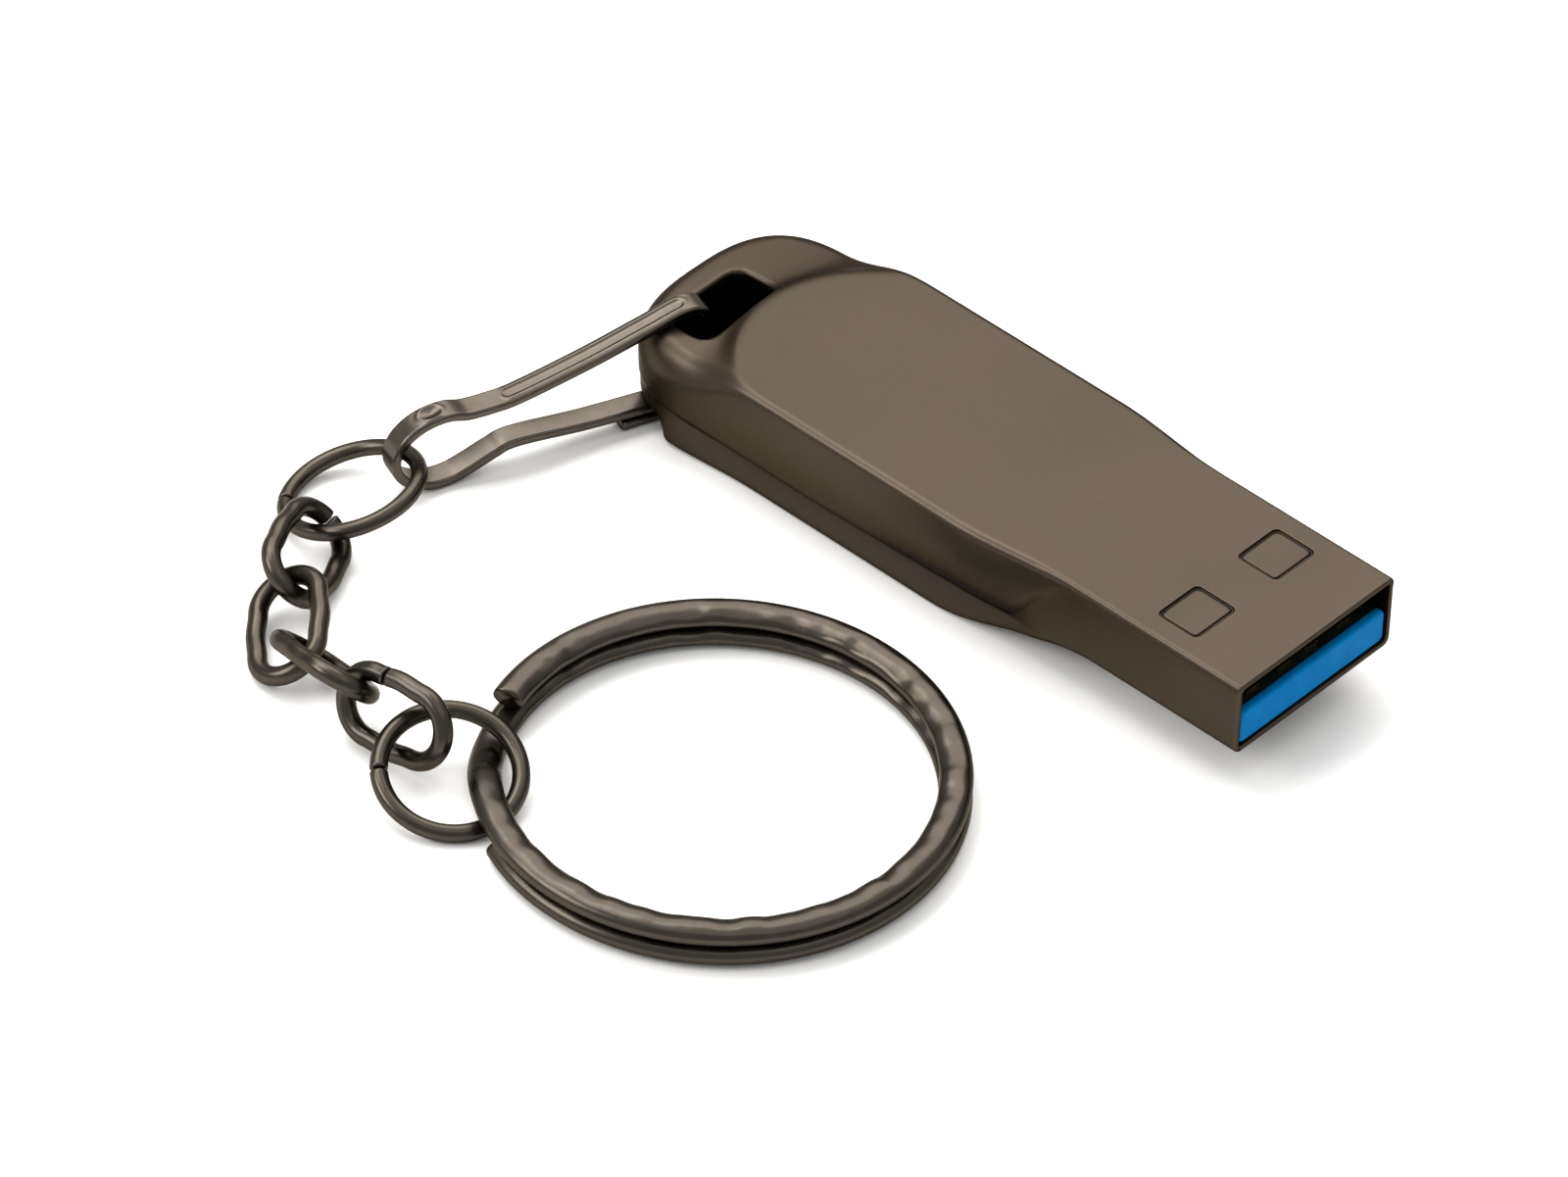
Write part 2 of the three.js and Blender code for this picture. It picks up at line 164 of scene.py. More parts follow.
def add_mesh(name, points, faces, material, body, replaced):
    """A smooth piece that rides on a body and stands for the replaced CAD nodes."""
    mesh = bpy.data.meshes.new(name)
    mesh.from_pydata((np.asarray(points) * MM).tolist(), [], [list(map(int, f)) for f in faces])
    mesh.validate()
    mesh.polygons.foreach_set("use_smooth", [True] * len(mesh.polygons))
    mesh.materials.append(material)
    piece = bpy.data.objects.new(name, mesh)
    bpy.context.scene.collection.objects.link(piece)
    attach(piece, body)
    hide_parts(*replaced)
    return piece


def net_surface(field, xs, ys, zs, passes=4):
    """Vertices and quads of the surface where the field is zero, on a grid with uneven steps.

    The callers shift their grids a little, so that no grid point falls on a flat face.
    """
    grid = np.meshgrid(xs, ys, zs, indexing="ij")
    value = field(*grid)
    inside = value < 0
    shape = np.array(value.shape)
    cells = shape - 1
    total = np.zeros((int(np.prod(cells)), 3))
    count = np.zeros(int(np.prod(cells)))
    lines = (xs, ys, zs)
    quads = []

    def cell_index(i, j, k):
        return (i * cells[1] + j) * cells[2] + k

    for axis in range(3):
        low = [slice(None)] * 3
        high = [slice(None)] * 3
        low[axis] = slice(0, -1)
        high[axis] = slice(1, None)
        crossing = inside[tuple(low)] != inside[tuple(high)]
        index = np.array(np.nonzero(crossing))
        a = value[tuple(low)][crossing]
        b = value[tuple(high)][crossing]
        share = a / (a - b)
        point = np.stack([lines[n][index[n]] for n in range(3)], axis=1)
        start = lines[axis][index[axis]]
        point[:, axis] = start + share * (lines[axis][index[axis] + 1] - start)
        u, v = (axis + 1) % 3, (axis + 2) % 3
        corners = []
        for du, dv in ((0, 0), (-1, 0), (-1, -1), (0, -1)):
            cell = index.copy()
            cell[u] += du
            cell[v] += dv
            flat = cell_index(*cell)
            np.add.at(total, flat, point)
            np.add.at(count, flat, 1)
            corners.append(flat)
        quad = np.stack(corners, axis=1)
        leaving = a < 0
        quads.append(np.where(leaving[:, None], quad, quad[:, ::-1]))
    quads = np.concatenate(quads)
    used, faces = np.unique(quads, return_inverse=True)
    faces = faces.reshape(quads.shape)
    points = total[used] / count[used][:, None]
    step = 0.004
    longest_move = 0.06
    for _ in range(passes):
        here = field(*points.T)
        slope = np.stack(
            [
                (field(*(points + step * e).T) - field(*(points - step * e).T)) / (2 * step)
                for e in np.eye(3)
            ],
            axis=1,
        )
        move = -here[:, None] * slope / np.maximum((slope**2).sum(1), 0.05)[:, None]
        length = np.linalg.norm(move, axis=1, keepdims=True)
        points = points + move * np.minimum(1, longest_move / np.maximum(length, 1e-9))
    return points, faces


def sweep(centres, sides, ups, sections, closed=False):
    """Skins a row of sections, each placed on its own side and up directions, and caps the ends."""
    points = []
    for centre, side, up, section in zip(centres, sides, ups, sections):
        points.append(centre + np.outer(section[:, 0], side) + np.outer(section[:, 1], up))
    rows = len(points)
    ring = len(points[0])
    faces = []
    for i in range(rows if closed else rows - 1):
        j = (i + 1) % rows
        for k in range(ring):
            n = (k + 1) % ring
            faces.append((i * ring + k, i * ring + n, j * ring + n, j * ring + k))
    if not closed:
        faces.append(tuple(range(ring - 1, -1, -1)))
        faces.append(tuple((rows - 1) * ring + k for k in range(ring)))
    return np.concatenate(points), faces


# ---- casing ----

def crease_z(x):
    """Where the side wall steps in over the base; it climbs to the deck at the neck."""
    return lerp(TOP_Z - 0.5, CREASE_Z, smooth((NECK_FRONT_X - x) / 4.5))


def floor_z(x):
    """The underside: up to the plug's at the front, and raised behind the body for the clasp."""
    neck = (TOP_Z - PLUG_HEIGHT) * (1 - smooth((20.5 - x) / 11))
    return neck + TAIL_LIFT * smooth((TAIL_LIFT_X - x) / 0.6)


def plan_field(x, across, half, start, end, power):
    """How far outside an outline that is straight to start and rounds off at end."""
    back = np.maximum(start - x, 0) / (start - end)
    return half * ((back**power + (across / half) ** power) ** (1 / power) - 1)


def casing_field(x, y, z):
    """The casting without its openings: negative inside, zero on the surface."""
    across = np.abs(y)
    neck = smooth((NECK_FRONT_X - x) / (NECK_FRONT_X - NECK_BACK_X))
    crease = crease_z(x)
    belly = np.sin(np.pi * np.clip((z - crease) / (TOP_Z - crease), 0, 1))
    upper = lerp(PLUG_HALF_WIDTH, BODY_HALF_WIDTH, neck) + BELLY_BULGE * neck * belly
    flush = smooth((-3 - x) / 6)
    flare = BASE_FLARE * (np.clip(crease - z, 0, CREASE_Z) / CREASE_Z) ** 1.5
    lower = lerp(PLUG_HALF_WIDTH, WAIST_HALF_WIDTH + flare, neck)
    lower = lerp(lower, BODY_HALF_WIDTH - 0.05, flush)
    upper_wall = plan_field(x, across, upper, TAIL_START_X, TAIL_X, TAIL_POWER)
    lower_wall = plan_field(x, across, lower, TAIL_START_X, TAIL_X + 0.1, TAIL_POWER)
    under = np.minimum(lerp(0.9, 2.5, smooth((x - 1) / 12)), 0.68 * (TOP_Z - crease))
    upper_wall = round_max(upper_wall, crease - 0.36 * under - z, under)
    wall = round_min(upper_wall, lower_wall, CASING_EDGES["base"])

    beyond = plan_field(x, across, DECK_END["half_width"], DECK_END["start"], DECK_END["end"], 2.0)
    beyond = np.maximum(0.5 * (beyond + np.sqrt(beyond**2 + 0.3**2)) - 0.03, 0)
    inside = np.maximum(-plan_field(x, across, BODY_HALF_WIDTH, TAIL_START_X, TAIL_X, TAIL_POWER), 0)
    share = np.maximum(beyond / (beyond + inside + 0.15), 1e-6)
    drop = RAMP["step"] * (1 - np.exp(-beyond / RAMP["step_run"])) + RAMP["fall"] * share**0.8
    drop = drop * smooth((RAMP["fade_from"] - x) / RAMP["fade_over"])
    edge = lerp(0.45, 1.7, smooth((-2 - x) / 7))
    body = round_max(z - TOP_Z + drop, wall, edge)
    body = round_max(body, floor_z(x) - z, lerp(0.5, 0.3, smooth((-8 - x) / 2)))
    return round_max(body, x - TIP_X, CASING_EDGES["tip"])


def housing_field(x, y, z):
    """The casting with its mouth, slot and dimples."""
    body = casing_field(x, y, z)
    middle = (MOUTH_FLOOR_Z + MOUTH_ROOF_Z) / 2
    tall = MOUTH_ROOF_Z - MOUTH_FLOOR_Z
    mouth = rounded_rectangle(y, z - middle, 2 * MOUTH_HALF_WIDTH, tall, MOUTH_CORNER)
    mouth = np.maximum(mouth, HOLLOW_BACK_X - x)
    body = round_max(body, -mouth, CASING_EDGES["mouth"])
    slot = rounded_rectangle(
        x - SLOT["x"], y - SLOT["y"], SLOT["width"], SLOT["length"], SLOT["corner"]
    )
    body = round_max(body, -slot, CASING_EDGES["slot"])
    dimple_x = TIP_X - DIMPLE["setback"] - DIMPLE["length"] / 2
    for side in (-1, 1):
        dimple_y = side * DIMPLE["spacing"] / 2
        square = rounded_rectangle(
            x - dimple_x, y - dimple_y, DIMPLE["length"], DIMPLE["width"], DIMPLE["corner"]
        )
        pan = np.maximum(square, TOP_Z - DIMPLE["pan"] - z)
        groove = np.abs(square + DIMPLE["groove"]) - DIMPLE["groove"]
        groove = np.maximum(groove, TOP_Z - DIMPLE["depth"] - z)
        body = round_max(body, -pan, CASING_EDGES["pan"])
        body = round_max(body, -groove, CASING_EDGES["groove"])
    return body


def build_housing(material):
    """The casing's mesh, on a grid that is finest along its edges."""
    dimple_back = TIP_X - DIMPLE["setback"] - DIMPLE["length"]
    dimple_front = TIP_X - DIMPLE["setback"]
    dimple_low = DIMPLE["spacing"] / 2 - DIMPLE["width"] / 2
    dimple_high = dimple_low + DIMPLE["width"]
    slot_x = [SLOT["x"] - SLOT["width"] / 2, SLOT["x"] + SLOT["width"] / 2]
    slot_y = [SLOT["y"] - SLOT["length"] / 2, SLOT["y"] + SLOT["length"] / 2]
    coarse, fine, reach = 0.28, 0.065, 0.17
    xs = graded(TAIL_X - 0.6, TIP_X + 0.25, coarse, fine, reach,
                [TAIL_X, *slot_x, HOLLOW_BACK_X, dimple_back, dimple_front, TIP_X])
    half = graded(0.0, 7.2, coarse, fine, reach,
                  [dimple_low, dimple_high, MOUTH_HALF_WIDTH, PLUG_HALF_WIDTH, 6.6])
    ys = np.unique(np.concatenate([-half, half, np.array(slot_y)]))
    zs = graded(-0.35, TOP_Z + 0.3, 0.26, 0.05, 0.15,
                [TOP_Z, MOUTH_ROOF_Z, MOUTH_FLOOR_Z, TOP_Z - PLUG_HEIGHT, CREASE_Z, 0.0])
    points, faces = net_surface(housing_field, xs + 0.013, ys + 0.007, zs + 0.011)
    return add_mesh("casing", points, faces, material, "drive", ["housing"])


# ---- wire forms of the chain ----

def round_section(radius, sides=20):
    angles = np.arange(sides) / sides * TURN
    return np.stack([radius * np.cos(angles), radius * np.sin(angles)], axis=1)


def loop_frame(lay):
    """Where a loop's middle is, and how the loop is turned from lying flat."""
    at, heading, rise, roll, _ = lay
    turn = (
        Matrix.Rotation(math.radians(heading), 3, "Z")
        @ Matrix.Rotation(math.radians(-rise), 3, "Y")
        @ Matrix.Rotation(math.radians(roll), 3, "X")
    )
    return np.array(at), np.array(turn)


def wire_loop(name, size, lay, material, rng):
    """A cut wire bent to a circle or, with straight sides, to an oval link."""
    length, width, wire = size["length"], size["width"], size["wire"]
    at, turn = loop_frame(lay)
    bend = (width - wire) / 2
    straight = length - width
    around = TURN * bend + 2 * straight
    arc = math.pi * bend
    half = arc + straight
    steps = 150
    opening = CUT / around
    bevel = 0.07 / around
    middle = np.linspace(2 * bevel, 1 - 2 * bevel, steps)
    shares = np.concatenate([[0.0, bevel], middle, [1 - bevel, 1.0]])
    centres, sides, ups, sections = [], [], [], []
    wobble = rng.uniform(0, TURN, 3)[0]
    for n, t in enumerate(shares):
        share = (lay[4] + opening / 2 + t * (1 - opening)) % 1
        travelled = share * around
        way = 1 if travelled < half else -1
        along = travelled % half
        if along < arc:
            angle = along / bend - math.pi / 2
            spot = np.array([straight / 2 + bend * math.cos(angle), bend * math.sin(angle), 0]) * way
            outward = np.array([math.cos(angle), math.sin(angle), 0]) * way
        else:
            back = straight / 2 - (along - arc)
            bulge = 0.065 * (1 + math.cos(TURN * back / straight))
            spot = np.array([back, bend + bulge, 0]) * way
            outward = np.array([0, 1, 0]) * way
        radius = wire / 2 - 0.006 * (1 + math.sin(5 * TURN * t + wobble))
        at_end = n in (0, len(shares) - 1)
        section = round_section(radius * (0.84 if at_end else 1))
        centres.append(at + turn @ spot)
        sides.append(turn @ outward)
        ups.append(turn @ np.array([0, 0, 1.0]))
        sections.append(section)
    points, faces = sweep(centres, sides, ups, sections)
    return add_mesh(name + "_wire", points, faces, material, name, [name])


def centripetal_curve(points, samples):
    """A smooth curve through the points, with even steps along each span."""
    pts = np.array(points, float)
    pts = np.vstack([2 * pts[0] - pts[1], pts, 2 * pts[-1] - pts[-2]])
    out = []
    for i in range(1, len(pts) - 2):
        p0, p1, p2, p3 = pts[i - 1 : i + 3]
        d0 = max(np.linalg.norm(p1 - p0) ** 0.5, 1e-4)
        d1 = max(np.linalg.norm(p2 - p1) ** 0.5, 1e-4)
        d2 = max(np.linalg.norm(p3 - p2) ** 0.5, 1e-4)
        m1 = ((p1 - p0) / d0 - (p2 - p0) / (d0 + d1) + (p2 - p1) / d1) * d1
        m2 = ((p2 - p1) / d1 - (p3 - p1) / (d1 + d2) + (p3 - p2) / d2) * d1
        for t in np.arange(samples) / samples:
            out.append(
                (2 * t**3 - 3 * t**2 + 1) * p1
                + (t**3 - 2 * t**2 + t) * m1
                + (-2 * t**3 + 3 * t**2) * p2
                + (t**3 - t**2) * m2
            )
    out.append(pts[-2])
    return np.array(out)


def even_steps(points, step):
    """The same path, with its points the step apart."""
    lengths = np.concatenate([[0], np.cumsum(np.linalg.norm(np.diff(points, axis=0), axis=1))])
    count = int(lengths[-1] / step)
    marks = np.linspace(0, lengths[-1], count + 1)
    return np.stack([np.interp(marks, lengths, points[:, n]) for n in range(points.shape[1])], axis=1)


def clasp_route():
    """The strip's middle line, as distance from its root and height."""
    bulb = []
    for angle in range(BULB["half_arc"], -BULB["half_arc"] - 1, -20):
        a = math.radians(angle)
        bulb.append((BULB["s"] + BULB["long"] * math.cos(a), BULB["z"] + BULB["high"] * math.sin(a)))
    tail = [(4.9, 0.34), (3, 0.34), (0.7, 0.4), (0.1, 0.9), (0, 2.5), (0, 5.9), (0.3, 6.6), (1, 6.85)]
    upper_leg = [(3.5, 6.2), (6.75, 5.3), (11.2, 4.35), (12.2, 4.3)]
    lower_leg = [(12.2, 1.25), (11.4, 1.5), (6.7, 1.15), (1.8, 0.96)]
    return centripetal_curve(tail + upper_leg + bulb + lower_leg, 14)


def strip_section(pressed):
    """Rounded strip section; pressed says how deep its outer face is pressed at each place across."""
    half_width = STRIP["width"] / 2
    half_thick = STRIP["thickness"] / 2
    corner = STRIP["corner"]
    flat = half_width - corner
    section = []
    for k in range(29):
        v = lerp(flat, -flat, k / 28)
        section.append((v, half_thick - pressed(v)))
    section += corner_arc(-flat, half_thick - corner, 90)
    section += corner_arc(-flat, corner - half_thick, 180)
    section += [(-flat, -half_thick), (flat, -half_thick)]
    section += corner_arc(flat, corner - half_thick, 270)
    section += corner_arc(flat, half_thick - corner, 0)
    return np.array(section)


def corner_arc(u, v, first):
    """Points round a quarter turn of the strip's corner, from that angle on."""
    angles = [math.radians(first + 90 * k / 6) for k in range(1, 6)]
    return [(u + STRIP["corner"] * math.cos(a), v + STRIP["corner"] * math.sin(a)) for a in angles]


def channel_depth(past, v):
    """A long shallow channel with round ends and a raised rim."""
    edge = math.hypot(past, v) - CHANNEL["half_width"]
    rim = CHANNEL["rim"] * math.exp(-((edge / CHANNEL["rim_width"]) ** 2))
    return CHANNEL["depth"] * float(smooth(-edge / CHANNEL["slope"])) - rim


def dimple_depth(past, v):
    """A round dimple with a raised rim."""
    r = math.hypot(v, past / PRESSED["stretch"])
    edge = (r - PRESSED["rim_radius"]) / PRESSED["rim_width"]
    hollow = PRESSED["depth"] * math.exp(-((r / PRESSED["radius"]) ** 2))
    return hollow - PRESSED["rim"] * math.exp(-(edge**2))


def build_clasp(material):
    """The spring clip, one strip swept along its route."""
    route = even_steps(clasp_route(), ROUTE_STEP)
    heading = math.radians(CLASP["heading"])
    along = np.array([math.cos(heading), math.sin(heading), 0])
    across = np.array([-along[1], along[0], 0])
    root = np.array([CLASP["x"], CLASP["y"], 0])
    tangents = np.gradient(route, axis=0)
    tangents /= np.linalg.norm(tangents, axis=1, keepdims=True)
    top = int(np.argmax(np.where(route[:, 0] > 12.5, route[:, 1], -9)))
    centres, sides, ups, sections = [], [], [], []
    for n, ((s, z), (ts, tz)) in enumerate(zip(route, tangents)):
        past_channel = max(0.0, CHANNEL["first"] - s, s - CHANNEL["last"])
        past_dimple = (n - top) * ROUTE_STEP - 0.5
        if ts > 0.3 and z > 3.8 and past_channel < 0.8:
            section = strip_section(lambda v: channel_depth(past_channel, v))
        elif abs(past_dimple) < 1.4:
            section = strip_section(lambda v: dimple_depth(past_dimple, v))
        else:
            section = strip_section(lambda v: 0.0)
        ends = min(n, len(route) - 1 - n)
        if ends == 0:
            section = section * np.array([0.9, 0.72])
        centres.append(root + along * s + np.array([0, 0, z]))
        sides.append(-across)
        ups.append(along * -tz + np.array([0, 0, ts]))
        sections.append(section)
    points, faces = sweep(centres, sides, ups, sections)
    return add_mesh("clasp_strip", points, faces, material, "clasp", ["clasp"])


def build_split_ring(material, rng):
    """Two turns of wire: the upper turn, a jog down, then the lower turn."""
    first = COIL_END_ANGLE - (COIL_JOG_START - 360)
    jog = COIL_JOG_START - COIL_JOG_END
    total = COIL_END_ANGLE - (COIL_LAST_ANGLE - 720)
    count = 1000
    waves = [(n, rng.uniform(0, TURN), rng.uniform(0.5, 1.0)) for n in (23, 31, 41)]
    middle = np.array([COIL["x"], COIL["y"], 0])
    centres, sides, ups, sections = [], [], [], []
    for i in range(count + 1):
        turned = total * i / count
        a = math.radians(COIL_END_ANGLE - turned)
        lower = COIL["height"] / 2 + COIL["lift"]
        upper = lower + COIL["height"] + COIL["gap"]
        z = lerp(upper, lower, float(smooth((turned - first) / jog)))
        hammered = sum(w * math.sin(n * math.radians(turned) + p) for n, p, w in waves) / 2.2
        flat = 0.5 + 0.5 * math.tanh(1.3 * hammered)
        outward = np.array([math.cos(a), math.sin(a), 0])
        sections.append(coil_section(flat, i in (0, count)))
        centres.append(middle + COIL["radius"] * outward + np.array([0, 0, z]))
        sides.append(outward)
        ups.append(np.array([0, 0, 1.0]))
    points, faces = sweep(centres, sides, ups, sections)
    faces = [f[::-1] for f in faces]
    name = "split_ring"
    return add_mesh(name + "_coil", points, faces, material, name, [name])


def coil_section(flat, at_end):
    """A flattened round wire; its top inner shoulder is planished by hammer flats."""
    sides = 32
    section = []
    for k in range(sides):
        a = TURN * k / sides
        c, s = math.cos(a), math.sin(a)
        u = c * COIL["width"] / 2
        v = s * COIL["height"] / 2
        shoulder = max(0.0, math.cos(a - math.radians(118))) ** 2
        u += HAMMERED_IN * flat * shoulder
        v -= HAMMERED_DOWN * flat * shoulder
        section.append((u, v))
    section = np.array(section)
    return section * 0.97 if at_end else section


# ---- insert ----

def build_insert(material):
    """The blue tray, with a rounded lip across the mouth."""
    low, high = node_box("carrier_tray")
    lip_back = high[0] - 0.45
    board_low, _ = node_box("circuit_board")
    floor_top = board_low[2] - 0.03
    middle_z = (low[2] + high[2]) / 2

    def field(x, y, z):
        lip = rounded_rectangle(y, z - middle_z, 2 * high[1], high[2] - low[2], 0.42)
        lip = round_max(round_max(lip, x - high[0], 0.22), lip_back - x, 0.04)
        tray = np.maximum(np.abs(y) - high[1] + 0.02, np.maximum(z - floor_top, low[2] - z))
        tray = np.maximum(tray, np.maximum(low[0] - x, x - high[0] + 0.2))
        return np.minimum(lip, tray)

    xs = graded(low[0] - 0.2, high[0] + 0.2, 0.5, 0.05, 0.3, [low[0], lip_back, high[0] - 0.1])
    half = graded(0.0, high[1] + 0.3, 0.5, 0.06, 0.3, [high[1] - 0.15])
    ys = np.unique(np.concatenate([-half, half]))
    zs = graded(low[2] - 0.2, high[2] + 0.2, 0.12, 0.05, 0.2, [low[2] + 0.1, floor_top, high[2] - 0.1])
    points, faces = net_surface(field, xs + 0.011, ys + 0.007, zs + 0.009)
    return add_mesh("insert", points, faces, material, "drive", ["carrier_tray"])


# ---- materials ----

class Shader:
    """A node material with a Principled shader, built from the object's own coordinates."""

    def __init__(self, name):
        self.material = bpy.data.materials.new(name)
        self.material.use_nodes = True
        self.tree = self.material.node_tree
        self.principled = next(n for n in self.tree.nodes if n.type == "BSDF_PRINCIPLED")
        self.place = self.add("ShaderNodeTexCoord").outputs["Object"]

    def add(self, kind, **settings):
        node = self.tree.nodes.new(kind)
        for key, value in settings.items():
            setattr(node, key, value)
        return node

    def link(self, source, target):
        self.tree.links.new(source, target)

    def set(self, socket, value):
        self.principled.inputs[socket].default_value = value

    def feed(self, socket, source):
        self.link(source, self.principled.inputs[socket])

    def noise(self, size_mm, detail=3, rough=0.55, stretch=None):
        """Noise whose features are about size_mm across."""
        texture = self.add("ShaderNodeTexNoise")
        texture.inputs["Scale"].default_value = 1 / (size_mm * MM)
        texture.inputs["Detail"].default_value = detail
        texture.inputs["Roughness"].default_value = rough
        source = self.place
        if stretch:
            mapping = self.add("ShaderNodeMapping")
            mapping.inputs["Scale"].default_value = stretch
            self.link(source, mapping.inputs["Vector"])
            source = mapping.outputs["Vector"]
        self.link(source, texture.inputs["Vector"])
        return texture.outputs["Fac"]

    def ramp(self, source, stops):
        node = self.add("ShaderNodeValToRGB")
        elements = node.color_ramp.elements
        while len(elements) < len(stops):
            elements.new(0.5)
        for element, (position, value) in zip(elements, stops):
            element.position = position
            element.color = (*value, 1) if isinstance(value, tuple) else (value, value, value, 1)
        self.link(source, node.inputs["Fac"])
        return node.outputs["Color"]

    def mix(self, factor, a, b, mode="MIX"):
        node = self.add("ShaderNodeMix", data_type="RGBA", blend_type=mode)
        for socket, value in ((0, factor), (6, a), (7, b)):
            if hasattr(value, "links"):
                self.link(value, node.inputs[socket])
            elif socket == 0:
                node.inputs[socket].default_value = value
            else:
                node.inputs[socket].default_value = (*value, 1)
        return node.outputs[2]

    def maths(self, operation, a, b=None):
        node = self.add("ShaderNodeMath", operation=operation)
        for n, value in enumerate((a, b)):
            if hasattr(value, "links"):
                self.link(value, node.inputs[n])
            elif value is not None:
                node.inputs[n].default_value = value
        return node.outputs[0]

    def product(self, first, *others):
        for other in others:
            first = self.maths("MULTIPLY", first, other)
        return first

    def rise(self, axis, start_mm, end_mm):
        """Goes smoothly from 0 at the first place along an axis of the object to 1 at the second."""
        split = self.add("ShaderNodeSeparateXYZ")
        self.link(self.place, split.inputs["Vector"])
        node = self.add("ShaderNodeMapRange", interpolation_type="SMOOTHSTEP")
        node.inputs["From Min"].default_value = start_mm * MM
        node.inputs["From Max"].default_value = end_mm * MM
        self.link(split.outputs[axis], node.inputs["Value"])
        return node.outputs["Result"]

    def edges(self, radius_mm, samples=6):
        """0 on flat faces, and more along edges that a bevel of that radius would round."""
        bevel = self.add("ShaderNodeBevel", samples=samples)
        bevel.inputs["Radius"].default_value = radius_mm * MM
        geometry = self.add("ShaderNodeNewGeometry")
        dot = self.add("ShaderNodeVectorMath", operation="DOT_PRODUCT")
        self.link(bevel.outputs["Normal"], dot.inputs[0])
        self.link(geometry.outputs["Normal"], dot.inputs[1])
        return self.maths("SUBTRACT", 1.0, dot.outputs["Value"])

    def occlusion_shade(self, reach_mm, stops):
        """A value from how open the surface is, for painted shade: low in the object's own slots and
        corners.
        """
        occlusion = self.add("ShaderNodeAmbientOcclusion", samples=8, only_local=True)
        occlusion.inputs["Distance"].default_value = reach_mm * MM
        return self.ramp(occlusion.outputs["AO"], stops)

    def bump(self, layers):
        """Adds bump layers, each (height source, depth in mm)."""
        normal = None
        for height, depth_mm in layers:
            node = self.add("ShaderNodeBump")
            node.inputs["Distance"].default_value = depth_mm * MM
            node.inputs["Strength"].default_value = 1.0
            self.link(height, node.inputs["Height"])
            if normal:
                self.link(normal, node.inputs["Normal"])
            normal = node.outputs["Normal"]
        self.feed("Normal", normal)


def casing_material():
    """Satin gun-metal plating; edges lighter as wear and painted highlight, with painted shade in
    slots, corners and low on the neck's walls.
    """
    s = Shader("casing_satin")
    s.set("Metallic", 0.9)
    s.set("Specular IOR Level", 0.45)
    s.set("Specular Tint", (0.32, 0.28, 0.22, 1))
    plating = [(0.35, (0.0468, 0.0375, 0.028)), (0.65, (0.0516, 0.0408, 0.031))]
    mottle = s.ramp(s.noise(9, 3, 0.5), plating)
    grain = s.ramp(s.noise(0.09, 2, 0.7), [(0.3, 0.92), (0.7, 1.06)])
    colour = s.mix(1.0, mottle, grain, "MULTIPLY")
    # Lighter along edges: partly edge wear, partly a painted highlight for the light the rounded deck
    # edge catches.
    edge_wear_and_highlight = s.ramp(s.edges(0.3), [(0.02, 0.0), (0.3, 0.55)])
    edge_wear_and_highlight = s.maths("MULTIPLY", edge_wear_and_highlight, s.ramp(s.noise(0.8, 5, 0.7), [(0.35, 0.45), (0.6, 1.0)]))
    worn_and_highlit = s.mix(edge_wear_and_highlight, colour, (0.105, 0.084, 0.063))
    # Painted shade: darker deep in the slot and mouth, and in the casing's own corners.
    slots = s.occlusion_shade(6.0, [(0.3, 0.02), (0.62, 0.4), (0.9, 1.0)])
    corners = s.occlusion_shade(1.6, [(0.5, 0.2), (0.93, 1.0)])
    # Painted shade: the wall just above the crease at the neck is darkened, standing in for the dark
    # floor it reflects there.
    low_on_wall = s.rise("Z", CREASE_Z + NOSE_SHADE["top"], CREASE_Z + NOSE_SHADE["full"])
    over_base = s.rise("Z", CREASE_Z - NOSE_SHADE["edge"], CREASE_Z + NOSE_SHADE["edge"])
    above_crease = s.product(low_on_wall, over_base)
    at_nose = s.product(s.rise("X", *NOSE_SHADE["back"]), s.rise("X", *NOSE_SHADE["front"]))
    uneven = s.ramp(s.noise(3, 3, 0.5), [(0.3, 0.8), (0.7, 1.0)])
    painted_nose_shade = s.product(above_crease, s.product(at_nose, uneven), NOSE_SHADE["most"])
    painted_nose_shade = s.maths("SUBTRACT", 1.0, painted_nose_shade)
    s.feed("Base Color", s.mix(s.product(slots, corners, painted_nose_shade), (0.0, 0.0, 0.0), worn_and_highlit))
    s.feed("Roughness", s.ramp(s.noise(5, 4, 0.5), [(0.3, 0.32), (0.7, 0.36)]))
    s.bump([(s.noise(0.07, 2, 0.6), 0.0010), (s.noise(0.4, 2, 0.5), 0.0006)])
    return s.material


def chain_material(name, shade, dint_mm):
    """Polished gun-metal plating, lighter along edges as wear and painted highlight, with shallow
    dints.
    """
    s = Shader(name)
    s.set("Metallic", 1.0)
    s.set("Specular Tint", (0.6, 0.58, 0.55, 1))
    tones = [(0.3, (0.90, 0.77, 0.63)), (0.5, (1.0, 0.86, 0.69)), (0.7, (1.06, 0.88, 0.76))]
    tint = s.ramp(s.noise(1.1, 4, 0.6), [(at, tuple(shade * c for c in tone)) for at, tone in tones])
    # Lighter along edges and rims: partly wear, partly a painted highlight for the light they catch.
    edge_wear_and_highlight = s.ramp(s.edges(0.22, 4), [(0.04, 0.0), (0.25, 0.5)])
    wear_and_highlight_tone = tuple(2.2 * shade * c for c in (1.0, 0.88, 0.75))
    s.feed("Base Color", s.mix(edge_wear_and_highlight, tint, wear_and_highlight_tone))
    s.feed("Roughness", s.ramp(s.noise(0.7, 3, 0.6), [(0.3, 0.24), (0.7, 0.31)]))
    dints = (s.noise(1.6, 2, 0.4), dint_mm)
    s.bump([dints, (s.noise(0.6, 2, 0.5), 0.0025), (s.noise(0.08, 2, 0.6), 0.0003)])
    return s.material


